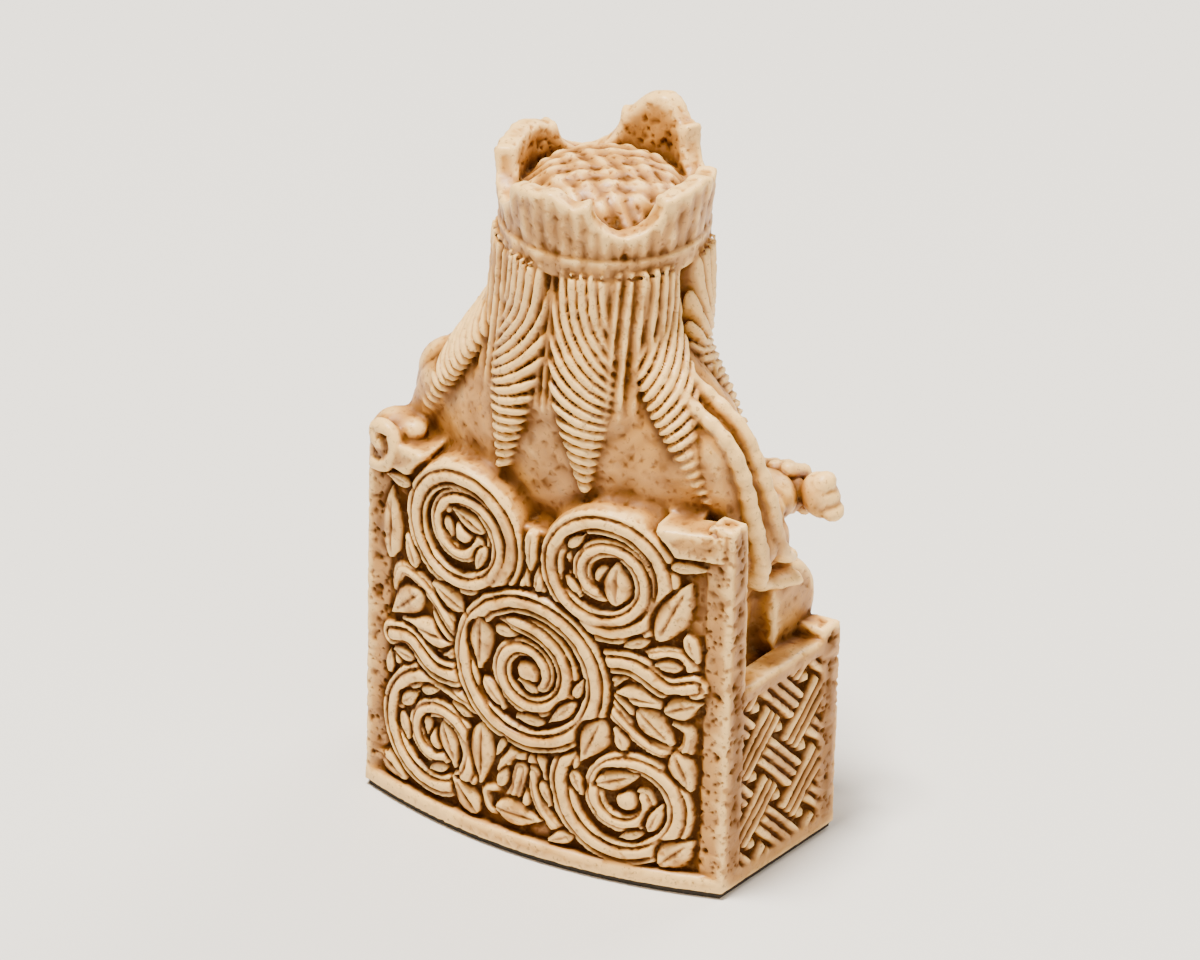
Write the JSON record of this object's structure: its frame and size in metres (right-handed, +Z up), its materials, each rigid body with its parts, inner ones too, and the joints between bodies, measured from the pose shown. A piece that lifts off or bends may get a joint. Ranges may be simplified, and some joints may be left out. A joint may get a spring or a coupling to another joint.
{
  "type": "chess king figure",
  "caption": "Medieval-style seated king chess piece on a carved throne, sheathed sword across his knees, cast in ivory-coloured resin on a dark base pad.",
  "frame": {"origin": "on the surface that the piece stands on, under the middle of its base", "axes": "+Z up; the king faces -Y; +X is towards the king's left hand"},
  "size_m": [0.052, 0.031, 0.0854],
  "materials": {
    "ivory_resin": "antiqued cast resin, satin",
    "pad_felt": "matte felt"
  },
  "bodies": {
    "root": {"king": "ivory_resin", "base_pad": "pad_felt"}
  },
  "joints": []
}
